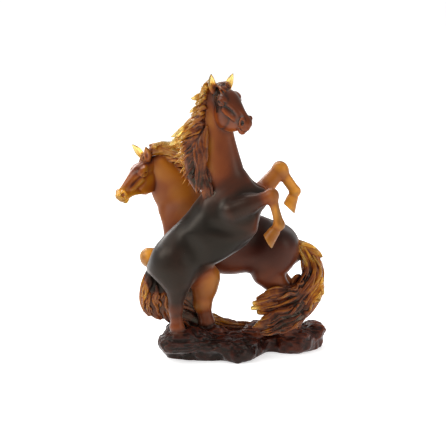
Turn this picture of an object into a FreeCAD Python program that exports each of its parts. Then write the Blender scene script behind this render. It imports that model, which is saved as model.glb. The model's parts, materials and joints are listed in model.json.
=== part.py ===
"""Pair of horses in cast amber crystal glass on a rock base, as the sections its wax master is assembled from.

Frame: millimetres, +Z up, +X towards the front horse's chest, -Y towards the front of the group.
The origin is on the flat face that the base rests on.
Both horses share one build, measured in head lengths, and differ in how their joints are posed.
"""
import FreeCAD, Part
import os

from FreeCAD import Placement, Rotation, Vector

doc = FreeCAD.newDocument("horse_pair")

# ---------------------------------------------------------------- driving dimensions

DRIVING = (
    ("front_head", 66.0, "front horse, poll to muzzle"),
    ("front_trunk", 170.0, "front horse, buttock to breast"),
    ("back_head", 66.0, "back horse, poll to muzzle"),
    ("back_trunk", 162.0, "back horse, buttock to breast"),
    ("base_rise", 25.0, "rock base, floor to the top that the hooves stand on"),
    ("base_half", 100.0, "rock base, half its length"),
)
sheet = doc.addObject("Spreadsheet::Sheet", "Sizes")
for row, (alias, millimetres, meaning) in enumerate(DRIVING, start=1):
    sheet.set(f"A{row}", meaning)
    sheet.set(f"B{row}", str(millimetres))
    sheet.setAlias(f"B{row}", alias)
doc.recompute()

UP = Vector(0, 0, 1)
ACROSS = Vector(0, 1, 0)


def size(alias):
    """A driving dimension's value, in millimetres."""
    return float(sheet.get(alias))


# ---------------------------------------------------------------- building blocks


def facing(along, up):
    """The rotation whose local Z runs along the limb and whose local Y is as near to up as it can be."""
    z = Vector(along).normalize()
    x = Vector(up).cross(z).normalize()
    return Rotation(x, z.cross(x), z, "ZXY")


def section(name, place, along, up, unit, half_width, half_height):
    """An elliptical section, its half width and half height as shares of the driving dimension named unit."""
    ring = doc.addObject("Part::Ellipse", name)
    turn = facing(along, up)
    if half_width < half_height:
        turn = turn.multiply(Rotation(UP, 90))
    ring.setExpression("MajorRadius", f"{sheet.Name}.{unit} * {max(half_width, half_height):.4f}")
    ring.setExpression("MinorRadius", f"{sheet.Name}.{unit} * {min(half_width, half_height):.4f}")
    ring.Placement = Placement(place, turn)
    return ring


def lofted(name, rings, ruled=False):
    """A solid skin through closed sections, smooth along its length unless ruled."""
    solid = doc.addObject("Part::Loft", name)
    solid.Sections = rings
    solid.Solid = True
    solid.Ruled = ruled
    return solid


def along_path(name, path, up, unit, halves, ruled=False):
    """A solid through sections set square to a curved path, each given as (half width, half height)."""
    last = len(path) - 1
    rings = []
    for i, (place, half) in enumerate(zip(path, halves, strict=True)):
        travel = path[min(i + 1, last)] - path[max(i - 1, 0)]
        rings.append(section(f"{name}_ring{i}", place, travel, up, unit, *half))
    return lofted(name, rings, ruled)


def ball(name, place, unit, radius):
    """A joint's ball, its radius as a share of the driving dimension named unit."""
    solid = doc.addObject("Part::Sphere", name)
    solid.setExpression("Radius", f"{sheet.Name}.{unit} * {radius:.4f}")
    solid.Placement = Placement(place, Rotation())
    return solid


def fused(name, pieces):
    whole = doc.addObject("Part::MultiFuse", name)
    whole.Shapes = pieces
    whole.Refine = True
    return whole


def trimmed(label, piece, neighbours):
    """The sub-part itself: the piece with the neighbours that it is bonded to taken out of it."""
    for i, other in enumerate(neighbours):
        cut = doc.addObject("Part::Cut", f"{label}_trim{i}")
        cut.Base = piece
        cut.Tool = other
        piece = cut
    piece.Label = label
    return piece


def pair(radius):
    return radius, radius


# ---------------------------------------------------------------- one horse's build, in head lengths

# Trunk sections from buttock to breast: place along the trunk as a share of its length from the middle,
# rise of the section's centre towards the back, half width and half height.
TRUNK = (
    (-0.495, 0.03, 0.12, 0.10),
    (-0.450, 0.00, 0.27, 0.25),
    (-0.355, 0.01, 0.37, 0.37),
    (-0.205, 0.03, 0.41, 0.46),
    (-0.030, -0.04, 0.42, 0.54),
    (0.147, -0.05, 0.43, 0.59),
    (0.294, 0.01, 0.39, 0.56),
    (0.424, 0.00, 0.33, 0.40),
    (0.500, -0.08, 0.18, 0.17),
)
# Head sections from poll to muzzle: share of the way, rise towards the forehead, half width, half height.
HEAD = (
    (-0.10, -0.04, 0.09, 0.10),
    (0.02, -0.08, 0.15, 0.21),
    (0.25, -0.12, 0.165, 0.26),
    (0.48, -0.09, 0.135, 0.20),
    (0.72, -0.05, 0.10, 0.135),
    (0.92, -0.04, 0.115, 0.13),
    (1.06, -0.05, 0.06, 0.07),
)
# Ear sections from root to tip: share of the way, rise, half width, half thickness.
EAR = (
    (-0.15, 0.0, 0.040, 0.030),
    (0.25, 0.0, 0.075, 0.042),
    (0.65, 0.0, 0.055, 0.030),
    (1.00, 0.0, 0.012, 0.010),
)
# Neck sections from shoulder to poll, forelock sections from poll to forehead: half width and half height.
NECK = ((0.27, 0.47), (0.225, 0.37), (0.19, 0.28), (0.17, 0.24), (0.15, 0.20))
FORELOCK = ((0.06, 0.04), (0.10, 0.07), (0.04, 0.03))
# Limbs: the radius of the ball at each joint, then half width and half depth midway to the next joint.
FORELEG_BALLS = (0.19, 0.118, 0.098)
FORELEG_SHAFTS = ((0.15, 0.15), (0.078, 0.085))
HINDLEG_BALLS = (0.30, 0.22, 0.135, 0.118)
HINDLEG_SHAFTS = ((0.25, 0.28), (0.145, 0.17), (0.105, 0.112))
SHAFT_END = 0.93  # a shaft's end as a share of the ball that it runs into
# Pastern and hoof from fetlock to toe: share of the way and radius.
HOOF = ((0.0, 0.088), (0.30, 0.076), (0.55, 0.095), (1.0, 0.135))


class Horse:
    """Builds one horse's solids from its driving dimensions and from the places of its joints."""

    def __init__(self, prefix, pose):
        self.prefix = prefix
        self.pose = pose
        self.head_unit = f"{prefix}_head"

    def label(self, part):
        return f"{self.prefix}_horse_{part}"

    def straight(self, part, origin, run, up, stations):
        """A solid on a straight run, its stations given as share, rise, half width and half height."""
        square_up = (up - run * (up.dot(run) / run.dot(run))).normalize()
        rings = [
            section(
                f"{self.label(part)}_ring{i}",
                origin + run * share + square_up * (rise * size(self.head_unit)),
                run,
                square_up,
                self.head_unit,
                half_width,
                half_height,
            )
            for i, (share, rise, half_width, half_height) in enumerate(stations)
        ]
        return lofted(f"{self.label(part)}_form", rings)

    def trunk(self):
        run = Vector(self.pose["forward"]).normalize() * size(f"{self.prefix}_trunk")
        return self.straight("trunk", self.pose["middle"], run, UP, TRUNK)

    def neck(self):
        path, forward = self.pose["neck"], self.pose["forward"]
        return along_path(self.label("neck_form"), path, forward, self.head_unit, NECK)

    def head(self):
        poll, muzzle, crown = self.pose["head"]
        return self.straight("head", poll, muzzle - poll, crown, HEAD)

    def ear(self, part):
        root, tip, outward = self.pose[part]
        return self.straight(part, root, tip - root, outward, EAR)

    def leg(self, part, balls, shafts):
        """A limb: a ball at each joint, a shaft between each two, and the hoof past the last."""
        name, joints = self.label(part), self.pose[part]
        pieces = []
        for i, (place, radius) in enumerate(zip(joints, balls)):
            pieces.append(ball(f"{name}_ball{i}", place, self.head_unit, radius))
        for i, middle in enumerate(shafts):
            start, end = joints[i], joints[i + 1]
            path = (start, (start + end) * 0.5, end)
            halves = (pair(SHAFT_END * balls[i]), middle, pair(SHAFT_END * balls[i + 1]))
            pieces.append(along_path(f"{name}_shaft{i}", path, ACROSS, self.head_unit, halves))
        fetlock, toe = joints[-2:]
        path = [fetlock + (toe - fetlock) * share for share, _ in HOOF]
        halves = [pair(radius) for _, radius in HOOF]
        pieces.append(along_path(f"{name}_hoof", path, ACROSS, self.head_unit, halves, ruled=True))
        return fused(f"{name}_form", pieces)

    def tress(self, part, halves):
        """A mane, forelock or tail as one thick tress."""
        return along_path(self.label(f"{part}_form"), self.pose[part], ACROSS, self.head_unit, halves)

    def build(self, base, beside):
        """This horse's sub-parts by name, each trimmed to those made before it and to those beside it."""
        made = {}

        def add(part, solid, *bonded):
            neighbours = [made[other] for other in bonded] + beside.get(part, [])
            made[part] = trimmed(self.label(part), solid, neighbours)

        add("trunk", self.trunk())
        add("neck", self.neck(), "trunk")
        add("head", self.head(), "neck")
        for ear in ("left_ear", "right_ear"):
            add(ear, self.ear(ear), "head", "neck")
        for leg in ("left_foreleg", "right_foreleg"):
            add(leg, self.leg(leg, FORELEG_BALLS, FORELEG_SHAFTS), "trunk", "neck")
        made["base"] = base
        hind = (HINDLEG_BALLS, HINDLEG_SHAFTS)
        add("left_hindleg", self.leg("left_hindleg", *hind), "trunk", "base")
        add("right_hindleg", self.leg("right_hindleg", *hind), "trunk", "base", "left_hindleg")
        ears = ("left_ear", "right_ear")
        add("mane", self.tress("mane", self.pose["mane_halves"]), "neck", "head", "trunk", *ears)
        add("forelock", self.tress("forelock", FORELOCK), "head", "neck", "mane", *ears)
        tail = self.tress("tail", self.pose["tail_halves"])
        add("tail", tail, "trunk", "left_hindleg", "right_hindleg", "base")
        del made["base"]
        return made


# ---------------------------------------------------------------- poses, joint by joint


def places(*triples):
    return [Vector(*triple) for triple in triples]


# The front horse rears to the right and turns its head to the front.
# The head is given as its poll, its muzzle and the way its forehead faces.
# An ear is given as its root, its tip and the way its flat side faces.
FRONT_POSE = {
    "middle": Vector(-42, -28, 152),
    "forward": Vector(0.725, -0.02, 0.688),
    "neck": places((-18, -29, 200), (-17, -29, 226), (-25, -29, 250), (-29, -30, 278), (-28, -31, 314)),
    "head": places((-27, -31, 328), (6, -68, 299), (0.5, -0.5, 0.8)),
    "right_ear": places((-32, -37, 333), (-34, -40, 350), (0.6, -0.8, 0)),
    "left_ear": places((-17, -27, 332), (-9, -26, 348), (0.6, -0.8, 0)),
    "right_foreleg": places((-9, -46, 185), (37, -50, 206), (45.5, -50, 171), (31, -52, 150)),
    "left_foreleg": places((8, -12, 183), (48.5, -5, 229), (66.5, -4, 202), (60, -4, 181)),
    "right_hindleg": places((-80, -36, 124), (-73, -44, 97), (-79, -43, 67), (-74, -43, 40), (-68, -44, 23)),
    "left_hindleg": places((-70, -18, 124), (-41, -12, 93), (-52, -13, 62), (-43, -13, 40), (-35, -13, 23)),
    "mane": places(
        (-33, -30, 337),
        (-44, -33, 312),
        (-51, -36, 286),
        (-53, -38, 258),
        (-52, -39, 228),
        (-47, -39, 204),
    ),
    "mane_halves": ((0.10, 0.10), (0.17, 0.14), (0.20, 0.18), (0.22, 0.20), (0.18, 0.18), (0.09, 0.10)),
    "forelock": places((-25, -36, 340), (-15, -43, 335), (-7, -51, 327)),
    "tail": places(
        (-100, -26, 124),
        (-111, -25, 108),
        (-118, -24, 90),
        (-117, -22, 72),
        (-106, -20, 54),
        (-88, -18, 40),
        (-66, -17, 28),
    ),
    "tail_halves": (
        (0.10, 0.10),
        (0.14, 0.13),
        (0.19, 0.18),
        (0.23, 0.23),
        (0.23, 0.22),
        (0.20, 0.18),
        (0.12, 0.12),
    ),
}
# The back horse leaps to the left behind it, its hind feet on the rock and its forelegs folded.
BACK_POSE = {
    "middle": Vector(-10, 30, 140),
    "forward": Vector(-0.945, -0.12, 0.297),
    "neck": places((-60, 27, 164), (-73, 26, 184), (-83, 25, 204), (-92, 24, 222), (-100, 22, 236)),
    "head": places((-105, 21, 241), (-139, 9, 195), (-1, -0.35, 0.6)),
    "left_ear": places((-109, 12, 243), (-112, 8, 257), (-0.8, -0.6, 0)),
    "right_ear": places((-117, 25, 240), (-128, 28, 252), (-0.8, -0.6, 0)),
    "left_foreleg": places((-64, 8, 134), (-114, 5, 122), (-99, 5, 93), (-87, 5, 80)),
    "right_foreleg": places((-58, 44, 136), (-97, 50, 108), (-80, 50, 80), (-68, 50, 68)),
    "left_hindleg": places((44, 22, 128), (22, 17, 92), (55, 20, 67), (42, 20, 40), (35, 20, 23)),
    "right_hindleg": places((46, 48, 130), (28, 52, 93), (62, 48, 68), (53, 48, 40), (48, 46, 23)),
    "mane": places((-106, 22, 252), (-94, 25, 250), (-80, 27, 237), (-68, 28, 219), (-58, 29, 200)),
    "mane_halves": ((0.07, 0.08), (0.13, 0.11), (0.15, 0.12), (0.14, 0.12), (0.08, 0.08)),
    "forelock": places((-113, 18, 249), (-120, 15, 242), (-126, 13, 232)),
    "tail": places(
        (60, 36, 134),
        (80, 33, 126),
        (94, 29, 106),
        (93, 22, 82),
        (78, 12, 62),
        (56, 3, 50),
        (32, -3, 41),
        (4, -8, 30),
    ),
    "tail_halves": (
        (0.11, 0.12),
        (0.14, 0.16),
        (0.17, 0.21),
        (0.19, 0.25),
        (0.24, 0.30),
        (0.24, 0.30),
        (0.22, 0.22),
        (0.14, 0.12),
    ),
}

# ---------------------------------------------------------------- rock base

# Height as a share of the rise, and spread as a share of the boulder's half length and half depth.
BOULDER = ((0.0, 0.90), (0.35, 1.0), (0.75, 0.95), (1.0, 0.82))


def boulder(name, x, y, half_length, half_depth):
    """A boulder with a flat foot at the floor, undercut there and rounded off above."""
    rings = []
    for i, (height, spread) in enumerate(BOULDER):
        centre = Vector(x, y, height * size("base_rise"))
        halves = (half_length * spread, half_depth * spread)
        rings.append(section(f"{name}_ring{i}", centre, UP, ACROSS, "base_half", *halves))
    return lofted(name, rings)


base = fused(
    "rock_base",
    [
        boulder("boulder_left", -56, -18, 0.42, 0.40),
        boulder("boulder_front", -20, -24, 0.42, 0.34),
        boulder("boulder_middle", 10, 8, 0.44, 0.42),
        boulder("boulder_right", 62, 26, 0.42, 0.37),
    ],
)
base.Label = "rock_base"

# ---------------------------------------------------------------- both horses

front = Horse("front", FRONT_POSE).build(base, {})
beside_front = {
    "trunk": [front["trunk"]],
    "left_foreleg": [front["trunk"], front["left_hindleg"]],
}
back = Horse("back", BACK_POSE).build(base, beside_front)

doc.recompute()

# ---------------------------------------------------------------- checks and export

for item in doc.Objects:
    if "Invalid" in item.State or "Error" in item.State:
        raise RuntimeError(f"{item.Label} did not build")

parts = [base, *front.values(), *back.values()]
for part in parts:
    if part.Shape.isNull() or not part.Shape.isValid() or len(part.Shape.Solids) != 1:
        raise RuntimeError(f"{part.Label} is not one valid solid")

os.makedirs("parts", exist_ok=True)
for part in parts:
    part.Shape.exportStep(f"parts/{part.Label}.step")
print(f"{len(parts)} parts written")
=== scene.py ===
"""Two horses in cast amber crystal glass on a rock base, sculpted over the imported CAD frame.

The group is one casting, so it is sculpted as one signed-distance field, in millimetres, and then
parted into its named sections. Neighbouring sections share their seam exactly.
"""
import json
import math

import bpy
import numpy as np
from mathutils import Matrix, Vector


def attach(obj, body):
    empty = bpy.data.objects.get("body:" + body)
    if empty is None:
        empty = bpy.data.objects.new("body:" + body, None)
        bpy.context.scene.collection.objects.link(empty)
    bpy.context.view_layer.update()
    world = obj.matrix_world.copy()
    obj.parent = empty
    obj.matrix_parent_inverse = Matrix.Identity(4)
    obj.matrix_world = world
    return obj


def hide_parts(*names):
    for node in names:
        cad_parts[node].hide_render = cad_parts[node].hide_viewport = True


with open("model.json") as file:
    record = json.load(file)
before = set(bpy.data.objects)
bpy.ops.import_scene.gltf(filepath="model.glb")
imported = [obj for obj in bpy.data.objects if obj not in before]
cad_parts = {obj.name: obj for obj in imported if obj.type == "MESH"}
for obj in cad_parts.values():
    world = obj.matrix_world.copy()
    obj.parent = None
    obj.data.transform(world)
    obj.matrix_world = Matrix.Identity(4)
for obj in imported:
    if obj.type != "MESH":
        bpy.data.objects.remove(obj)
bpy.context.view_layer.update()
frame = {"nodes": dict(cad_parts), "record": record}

STEP = 0.8  # voxel, mm
BLOCK = 8  # voxels along a block's side
BAND = 3.0  # how far from the surface the field has to be right, mm
FAR = 60.0  # the field's value where no shape is near, mm
HAIR_CLEARANCE = 0.6  # how far hair has to stand clear of the skin to show, mm
CHUNK = 6000  # blocks worked out at a time


def vec(*xyz):
    return np.array(xyz, dtype=np.float64)


def unit(v):
    return v / np.linalg.norm(v)


# ---------------------------------------------------------------- clay: signed-distance shapes


def smooth_min(a, b, k):
    if k <= 0:
        return np.minimum(a, b)
    h = np.maximum(k - np.abs(a - b), 0) / k
    return np.minimum(a, b) - h * h * (k / 4)


def smooth_max(a, b, k):
    return -smooth_min(-a, -b, k)


def within(centres, low, high):
    """The numbers of the blocks centred in a box."""
    return np.flatnonzero(((centres > low) & (centres < high)).all(1))


class Ellipsoid:
    """An ellipsoid on its own axes. Every shape gives the signed distance at p, block by block."""

    def __init__(self, centre, radii, axes=((1, 0, 0), (0, 1, 0), (0, 0, 1))):
        self.c = np.array(centre, dtype=np.float32)
        self.r = np.array(radii, dtype=np.float32)
        self.m = np.array(axes, dtype=np.float32)
        reach = np.sqrt((self.m.T ** 2) @ (self.r ** 2))
        self.low, self.high = self.c - reach, self.c + reach

    def __call__(self, p, centres, reach):
        q = ((p - self.c) @ self.m.T) / self.r
        k0 = np.sqrt((q * q).sum(-1))
        q /= self.r
        k1 = np.sqrt((q * q).sum(-1))
        return k0 * (k0 - 1) / np.maximum(k1, 1e-4)


class Tube:
    """A tube along a smooth path, elliptical in section, with optional lengthwise ridges.

    At each point p of the path, half its width a lies along u and half its height b along w.
    """

    def __init__(self, path, width, height, up, segments=None, ridge=None, twist=0.0):
        path = np.array(path, dtype=np.float64)
        n = len(path)
        m = segments or 4 * (n - 1)
        t = np.linspace(0, n - 1, m + 1)
        knots = np.arange(n)
        self.p = spline(knots, path, t)
        halves = (spline(knots, np.array(half, dtype=np.float64), t) for half in (width, height))
        self.a, self.b = (np.maximum(half, 0.15) for half in halves)
        travel = np.gradient(self.p, axis=0)
        travel /= np.linalg.norm(travel, axis=1)[:, None]
        ups = np.array(up, dtype=np.float64)
        ups = spline(knots, ups, t) if ups.ndim == 2 else np.broadcast_to(ups, self.p.shape)
        w = ups - travel * (ups * travel).sum(1)[:, None]
        w /= np.linalg.norm(w, axis=1)[:, None]
        u = np.cross(w, travel)
        if twist:
            angle = np.linspace(0, twist, m + 1)[:, None]
            w, u = w * np.cos(angle) + u * np.sin(angle), u * np.cos(angle) - w * np.sin(angle)
        self.u, self.w = u, w
        self.ridge = ridge
        big = np.maximum(self.a, self.b)[:, None]
        self.lows, self.highs = self.p - big, self.p + big
        self.low, self.high = self.lows.min(0), self.highs.max(0)
        lengths = np.linalg.norm(np.diff(self.p, axis=0), axis=1)
        self.length = np.concatenate([[0], np.cumsum(lengths)])

    def __call__(self, p, centres, reach):
        out = np.full(p.shape[:-1], FAR, dtype=np.float32)
        f32 = np.float32
        for i in range(len(self.p) - 1):
            low = np.minimum(self.lows[i], self.lows[i + 1]) - reach
            high = np.maximum(self.highs[i], self.highs[i + 1]) + reach
            near = within(centres, low, high)
            if not len(near):
                continue
            start = self.p[i].astype(f32)
            run = (self.p[i + 1] - self.p[i]).astype(f32)
            length = f32(np.linalg.norm(run))
            way = run / length
            q = p[near] - start
            along = q @ way
            t = np.clip(along / length, 0, 1)
            past = along - t * length
            sides = []
            for axes in (self.u, self.w):
                first, second = axes[i].astype(f32), axes[i + 1].astype(f32)
                side = q @ first * (1 - t) + q @ second * t
                # the two frames differ a little, so what the path itself adds is taken off
                sides.append(side - t * (run @ second) * t - t * (run @ first) * (1 - t))
            u, w = sides
            a = self.a[i] * (1 - t) + self.a[i + 1] * t
            b = self.b[i] * (1 - t) + self.b[i + 1] * t
            c = np.minimum(a, b)
            x, y, z = u / a, w / b, past / c
            k0 = np.sqrt(x * x + y * y + z * z)
            k1 = np.sqrt((x / a) ** 2 + (y / b) ** 2 + (z / c) ** 2)
            d = k0 * (k0 - 1) / np.maximum(k1, 1e-4)
            if self.ridge:
                pitch, depth, phase = self.ridge
                sway = 0.25 * np.sin(0.12 * (self.length[i] + along))
                wave = np.cos(u * (2 * math.pi / pitch) + phase + sway)
                d += depth * np.clip(c / 3.0, 0, 1) * (0.5 - 0.5 * wave)
            out[near] = np.minimum(out[near], d)
        return out

    def combing(self, points):
        """How far across the tube and along it each point lies, each tube starting at its own place."""
        start, run = self.p[:-1], np.diff(self.p, axis=0)
        q = points[:, None, :] - start
        t = np.clip((q * run).sum(-1) / (run * run).sum(-1), 0, 1)
        gap = ((q - t[..., None] * run) ** 2).sum(-1)
        i = gap.argmin(1)
        rows = np.arange(len(points))
        t = t[rows, i]
        off = q[rows, i] - t[:, None] * run[i]
        u = (off * (self.u[i] * (1 - t[:, None]) + self.u[i + 1] * t[:, None])).sum(-1)
        return u + self.ridge[2] * 40, self.length[i] + t * np.linalg.norm(run[i], axis=1)


def spline(knots, values, t):
    """Catmull-Rom through values at whole-number knots."""
    last = len(knots) - 1
    i = np.clip(np.floor(t).astype(int), 0, last - 1)
    f = t - i
    if values.ndim == 2:
        f = f[:, None]
    p0, p1 = values[np.maximum(i - 1, 0)], values[i]
    p2, p3 = values[i + 1], values[np.minimum(i + 2, last)]
    return 0.5 * (
        2 * p1
        + (p2 - p0) * f
        + (2 * p0 - 5 * p1 + 4 * p2 - p3) * f ** 2
        + (3 * p1 - p0 - 3 * p2 + p3) * f ** 3
    )


class Hoof:
    """A hoof: a cone that widens from its coronet, cut off obliquely at its sole."""

    def __init__(self, top, toe, r_top, r_toe, heel, slant=0.45):
        self.top, self.axis = vec(*top), unit(vec(*toe) - vec(*top))
        self.length = np.linalg.norm(vec(*toe) - vec(*top))
        self.r_top, self.r_toe = r_top, r_toe
        heel = vec(*heel)
        heel = unit(heel - self.axis * heel.dot(self.axis))
        self.sole = unit(self.axis + slant * heel)
        self.toe = vec(*toe) - heel * r_toe * 0.6
        ends = np.array([self.top, vec(*toe)])
        self.low, self.high = ends.min(0) - r_toe - 2, ends.max(0) + r_toe + 2

    def __call__(self, p, centres, reach):
        q = p - self.top.astype(np.float32)
        along = q @ self.axis.astype(np.float32)
        out = np.sqrt(np.maximum((q * q).sum(-1) - along ** 2, 0))
        flare = (self.r_toe - self.r_top) / self.length
        side = (out - self.r_top - flare * along) / math.hypot(1, flare)
        sole = (p - self.toe.astype(np.float32)) @ self.sole.astype(np.float32)
        return smooth_max(smooth_max(side, sole, 1.6), -along - 2, 1.6)


class Boulder:
    """A squared-off ellipsoid with an upright axis."""

    def __init__(self, centre, radii, power=2.3):
        self.c, self.r = np.array(centre, dtype=np.float32), np.array(radii, dtype=np.float32)
        self.power = power
        self.low, self.high = self.c - self.r, self.c + self.r

    def __call__(self, p, centres, reach):
        n = self.power
        q = (p - self.c) / self.r
        level = np.sqrt(q[..., 0] ** 2 + q[..., 1] ** 2) + 1e-6
        up = np.abs(q[..., 2])
        size = (level ** n + up ** n) ** (1 / n)
        steep = (level / size) ** (n - 1) / level
        slope = np.sqrt(
            (steep * q[..., 0] / self.r[0]) ** 2
            + (steep * q[..., 1] / self.r[1]) ** 2
            + ((up / size) ** (n - 1) / self.r[2]) ** 2
        )
        return (size - 1) / np.maximum(slope, 1e-4)


class Below:
    """All that lies under the floor."""

    low, high = np.full(3, -1e3), np.full(3, 1e3)

    def __call__(self, p, centres, reach):
        return p[..., 2]


class Noise:
    """Smooth lattice noise from -1 to 1, summed over octaves."""

    def __init__(self, seed, size, octaves=3):
        self.lattice = np.random.default_rng(seed).uniform(-1, 1, (32, 32, 32)).astype(np.float32)
        self.size, self.octaves = size, octaves

    def __call__(self, p):
        total, weight = 0.0, 1.0
        for octave in range(self.octaves):
            q = p * np.float32(2.0 ** octave / self.size) + np.float32(octave * 7.3)
            i = np.floor(q).astype(np.int32)
            f = q - i
            f = f * f * (3 - 2 * f)
            i &= 31
            j = (i + 1) & 31
            value = 0.0
            for dx, x in ((1 - f[..., 0], i[..., 0]), (f[..., 0], j[..., 0])):
                for dy, y in ((1 - f[..., 1], i[..., 1]), (f[..., 1], j[..., 1])):
                    for dz, z in ((1 - f[..., 2], i[..., 2]), (f[..., 2], j[..., 2])):
                        value = value + dx * dy * dz * self.lattice[x, y, z]
            total = total + weight * value
            weight *= 0.5
        return total


ADDED = [(None, 0)]  # every shape put on, with its section; a shape's number is its place here


class Clay:
    """A list of shapes put on or cut away in order, each for a named section."""

    def __init__(self, weld):
        self.weld = weld
        self.steps = []

    def add(self, shape, part, k=2.0):
        self.steps.append((shape, len(ADDED), k, 1))
        ADDED.append((shape, part))

    def cut(self, shape, k=1.0):
        self.steps.append((shape, None, k, -1))

    def roughen(self, relief):
        self.steps.append((relief, None, 0, 0))

    def evaluate(self, points, centres, margin):
        """The clay's field, its nearest shape's distance and that shape's number, at each point."""
        field = np.full(points.shape[:-1], FAR, dtype=np.float32)
        best = np.full(points.shape[:-1], FAR, dtype=np.float32)
        which = np.zeros(points.shape[:-1], dtype=np.uint16)
        for shape, number, k, sign in self.steps:
            if sign == 0:
                near = np.flatnonzero((field < FAR).any(1))
                field[near] += shape(points[near])
                continue
            reach = margin + k
            near = within(centres, shape.low - reach, shape.high + reach)
            if not len(near):
                continue
            d = shape(points[near], centres[near], reach).astype(np.float32)
            if sign < 0:
                field[near] = -smooth_min(-field[near], d, k)
                continue
            field[near] = smooth_min(field[near], d, k)
            held = best[near]
            closer = d < held
            best[near] = np.where(closer, d, held)
            which[near] = np.where(closer, np.uint16(number), which[near])
        return field, best, which


# ---------------------------------------------------------------- one horse's anatomy

PARTS = sorted(frame["nodes"])
PART_ID = {name: i + 1 for i, name in enumerate(PARTS)}

# Trunk stations from buttock to breast, mm on a 170 mm trunk: place, rise, half height, half width.
TRUNK = (
    (-86, -3, 6, 8),
    (-80, -2, 14, 17),
    (-67, 0, 22, 23),
    (-50, 1, 27.5, 26),
    (-32, 2, 31, 26.5),
    (-12, 0, 33.5, 27),
    (8, -2, 36.5, 28),
    (28, -2, 40, 28),
    (46, -1, 37, 26.5),
    (61, 1, 31, 24),
    (75, 0, 22, 19),
    (87, 0, 9, 9),
)


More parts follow.
